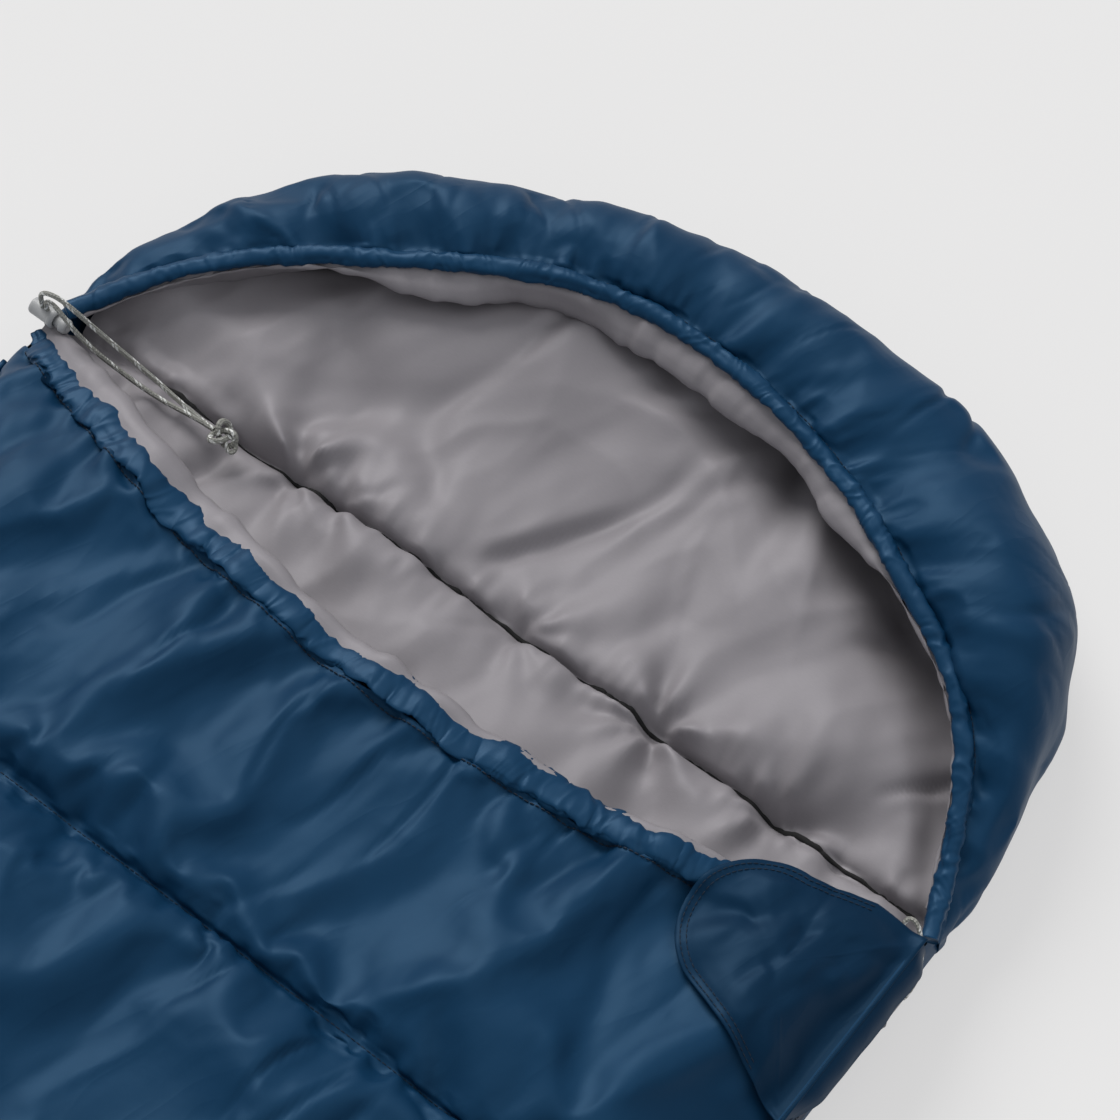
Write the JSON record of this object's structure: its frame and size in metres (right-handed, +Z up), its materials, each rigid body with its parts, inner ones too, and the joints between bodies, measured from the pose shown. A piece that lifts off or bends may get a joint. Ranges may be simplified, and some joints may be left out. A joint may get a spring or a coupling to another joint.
{
  "type": "hooded rectangular sleeping bag",
  "caption": "Rectangular sleeping bag with a half-round hood, a drawcord at the face opening, an L-shaped side zip and a zip flap.",
  "frame": {"origin": "on the ground under the middle of the bag: half way along its whole length with the hood, and half way across its two sewn sides", "axes": "+Y along the bag from the foot end to the hood, +X across it towards the zip side, +Z up"},
  "size_m": [0.7904, 2.2062, 0.122],
  "materials": {
    "shell_cloth": "navy satin polyester taffeta, soft sheen",
    "lining_cloth": "grey satin polyester, soft sheen",
    "filling": "white hollow-fibre wadding",
    "zip_tape": "dark navy woven zip tape",
    "zip_coil": "dark navy nylon coil",
    "zip_metal": "dark grey painted zinc casting",
    "hook_and_loop": "dark navy hook-and-loop tape",
    "reflective_cord": "grey braided cord with white tracer flecks",
    "lock_plastic": "light grey moulded plastic"
  },
  "bodies": {
    "base": {"back_shell": "shell_cloth", "back_fill": "filling", "back_lining": "lining_cloth", "side_piping": "shell_cloth", "zip_tape_back": "zip_tape", "zip_coil_back": "zip_coil", "zip_top_stop_back": "zip_metal", "zip_bottom_stop_back": "zip_metal", "cord_strand_a": "reflective_cord", "cord_strand_b": "reflective_cord", "cord_knot": "reflective_cord"},
    "front_panel": {"front_shell": "shell_cloth", "front_fill": "filling", "front_lining": "lining_cloth", "front_hem": "shell_cloth", "front_drawcord": "reflective_cord", "zip_tape_front": "zip_tape", "zip_coil_front": "zip_coil", "zip_top_stop_front": "zip_metal", "zip_bottom_stop_front": "zip_metal", "flap_seam": "shell_cloth", "flap_loop_patch": "hook_and_loop"},
    "flap": {"zip_flap": "shell_cloth", "flap_hook_patch": "hook_and_loop"},
    "hood": {"hood_pad_shell": "shell_cloth", "hood_pad_fill": "filling", "hood_pad_lining": "lining_cloth", "hood_rim_shell": "shell_cloth", "hood_rim_fill": "filling", "hood_rim_lining": "lining_cloth", "hood_hem": "shell_cloth", "hood_drawcord": "reflective_cord"},
    "slider": {"zip_slider": "zip_metal"},
    "pull": {"pull_tab": "zip_metal", "pull_cord_loop": "reflective_cord"},
    "cord_lock": {"lock_barrel": "lock_plastic"},
    "plunger": {"lock_plunger": "lock_plastic"}
  },
  "joints": [
    {"name": "front_fold", "type": "hinge", "parent": "base", "child": "front_panel", "pos_m": [-0.383, 0, 0.061], "axis": [0, -1, 0], "range_deg": [0, 180]},
    {"name": "flap_fold", "type": "hinge", "parent": "front_panel", "child": "flap", "pos_m": [0.3812, 0.66, 0.0865], "axis": [0, 1, 0], "range_deg": [0, 150]},
    {"name": "hood_fold", "type": "hinge", "parent": "base", "child": "hood", "pos_m": [0, 0.7585, 0.06], "axis": [1, 0, 0], "range_deg": [0, 60]},
    {"name": "zip_slide", "type": "slide", "parent": "base", "child": "slider", "axis": [0, -1, 0], "range_m": [0, 1.7]},
    {"name": "pull_swing", "type": "hinge", "parent": "slider", "child": "pull", "pos_m": [0.3904, 0.689, 0.061], "axis": [0, 0, -1], "range_deg": [0, 160]},
    {"name": "lock_slide", "type": "slide", "parent": "base", "child": "cord_lock", "axis": [0, 0, 1], "range_m": [0, 0.008]},
    {"name": "plunger_press", "type": "slide", "parent": "cord_lock", "child": "plunger", "axis": [-1, 0, 0], "range_m": [0, 0.004], "stiffness_N_per_m": 800}
  ]
}
